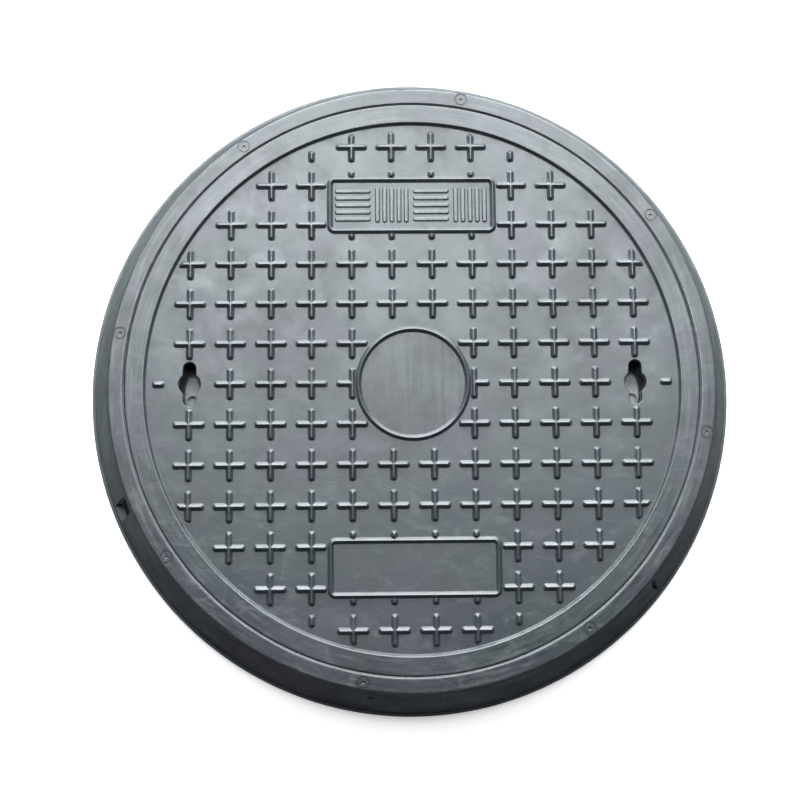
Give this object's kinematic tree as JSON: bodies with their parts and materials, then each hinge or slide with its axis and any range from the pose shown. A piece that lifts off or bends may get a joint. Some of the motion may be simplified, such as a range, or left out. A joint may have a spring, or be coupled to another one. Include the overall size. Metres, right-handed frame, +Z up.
{
  "type": "manhole cover",
  "caption": "Round moulded composite manhole cover with a raised cross tread and key-turned locks, lying flush in a flared ring frame with a rubber-lined seat.",
  "frame": {"origin": "centre of the frame's base plane", "axes": "+Z up to the walking face; +Y towards the panel with the weave tiles; the keyholes lie on the X axis"},
  "size_m": [0.824, 0.824, 0.1],
  "materials": {
    "frame_composite": "semi-gloss moulded composite, dark blue-grey, scuffed",
    "cover_composite": "semi-gloss moulded composite, dark blue-grey, cloudy",
    "steel_bar": "drawn reinforcement bar",
    "gasket_rubber": "black rubber",
    "lock_iron": "painted grey iron casting",
    "driver_iron": "grey iron, dusty",
    "bush_bronze": "turned bronze",
    "spring_steel": "oiled spring wire",
    "zinc_steel": "zinc-plated steel"
  },
  "bodies": {
    "frame": {"frame_ring": "frame_composite", "frame_head_hoop": "steel_bar", "frame_seat_hoop": "steel_bar", "seat_gasket": "gasket_rubber"},
    "cover": {"cover_plate": "cover_composite", "cover_skirt_hoop": "steel_bar", "cover_hub_hoop": "steel_bar", "cover_rib_bars": "steel_bar", "left_lock_cup": "lock_iron", "left_cup_screws": "zinc_steel", "left_lock_bush": "bush_bronze", "right_lock_cup": "lock_iron", "right_cup_screws": "zinc_steel", "right_lock_bush": "bush_bronze"},
    "left_lock": {"left_lock_driver": "driver_iron", "left_driver_seal": "gasket_rubber", "left_lock_spring": "spring_steel", "left_lock_tongue": "zinc_steel", "left_tongue_washer": "zinc_steel", "left_tongue_nut": "zinc_steel"},
    "right_lock": {"right_lock_driver": "driver_iron", "right_driver_seal": "gasket_rubber", "right_lock_spring": "spring_steel", "right_lock_tongue": "zinc_steel", "right_tongue_washer": "zinc_steel", "right_tongue_nut": "zinc_steel"}
  },
  "joints": [
    {"name": "cover_lift", "type": "slide", "parent": "frame", "child": "cover", "axis": [0, 0, 1], "range_m": [0, 0.15]},
    {"name": "left_lock_turn", "type": "hinge", "parent": "cover", "child": "left_lock", "pos_m": [-0.27225, 0, 0.06], "axis": [0, 0, -1], "range_deg": [0, 180]},
    {"name": "right_lock_turn", "type": "hinge", "parent": "cover", "child": "right_lock", "pos_m": [0.27225, 0, 0.06], "axis": [0, 0, -1], "range_deg": [0, 180]}
  ]
}
